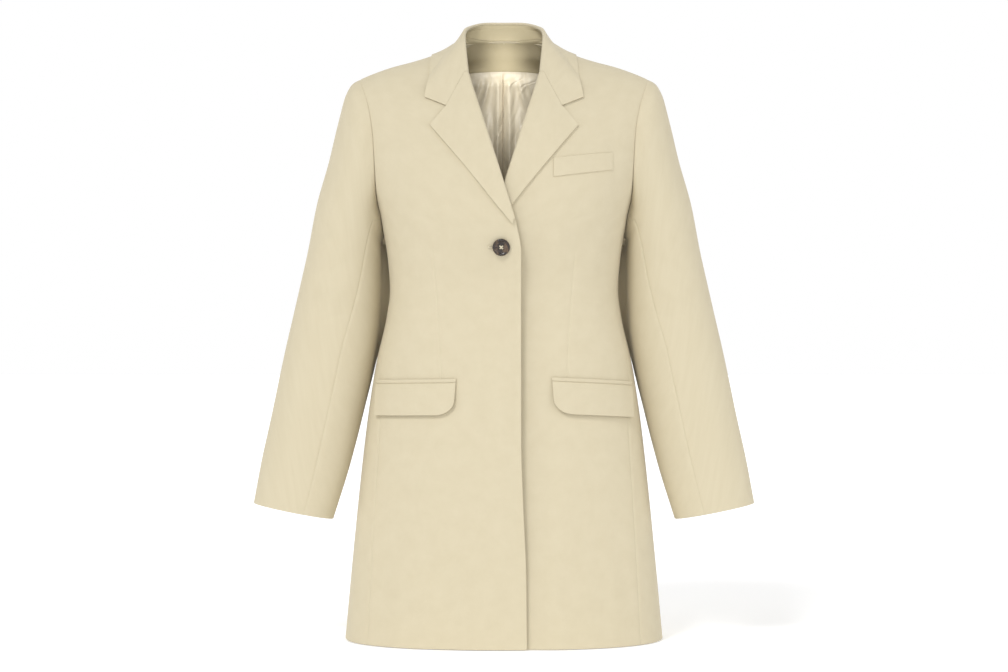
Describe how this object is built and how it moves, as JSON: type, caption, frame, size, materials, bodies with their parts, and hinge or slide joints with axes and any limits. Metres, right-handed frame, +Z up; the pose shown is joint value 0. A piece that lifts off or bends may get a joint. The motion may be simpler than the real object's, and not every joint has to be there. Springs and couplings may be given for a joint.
{
  "type": "overcoat",
  "caption": "Tailored single-breasted overcoat with notched lapels, set-in sleeves and flap pockets, hollow and filled out as worn.",
  "frame": {"origin": "the base of the neck, midway between the shoulders and on their line, where the coat hangs from its wearer", "axes": "+Z up, -Y the way the front faces, +X towards the wearer's left"},
  "size_m": [0.7014, 0.2666, 0.8807],
  "materials": {
    "coat_cloth": "matt, closely woven pale stone twill",
    "lining": "silky lining, soft sheen",
    "button": "polished dark horn",
    "thread": "matt sewing thread"
  },
  "bodies": {
    "root": {"front_right": "coat_cloth", "side_right": "coat_cloth", "back_right": "coat_cloth", "sleeve_top_right": "coat_cloth", "sleeve_under_right": "coat_cloth", "lapel_right": "coat_cloth", "pocket_flap_right": "coat_cloth", "pocket_jet_right": "coat_cloth", "front_left": "coat_cloth", "side_left": "coat_cloth", "back_left": "coat_cloth", "sleeve_top_left": "coat_cloth", "sleeve_under_left": "coat_cloth", "lapel_left": "coat_cloth", "pocket_flap_left": "coat_cloth", "pocket_jet_left": "coat_cloth", "collar_fall": "coat_cloth", "collar_stand": "coat_cloth", "neck_facing": "coat_cloth", "chest_welt": "coat_cloth", "back_lining": "lining", "button": "button", "button_shank": "thread"}
  },
  "joints": []
}
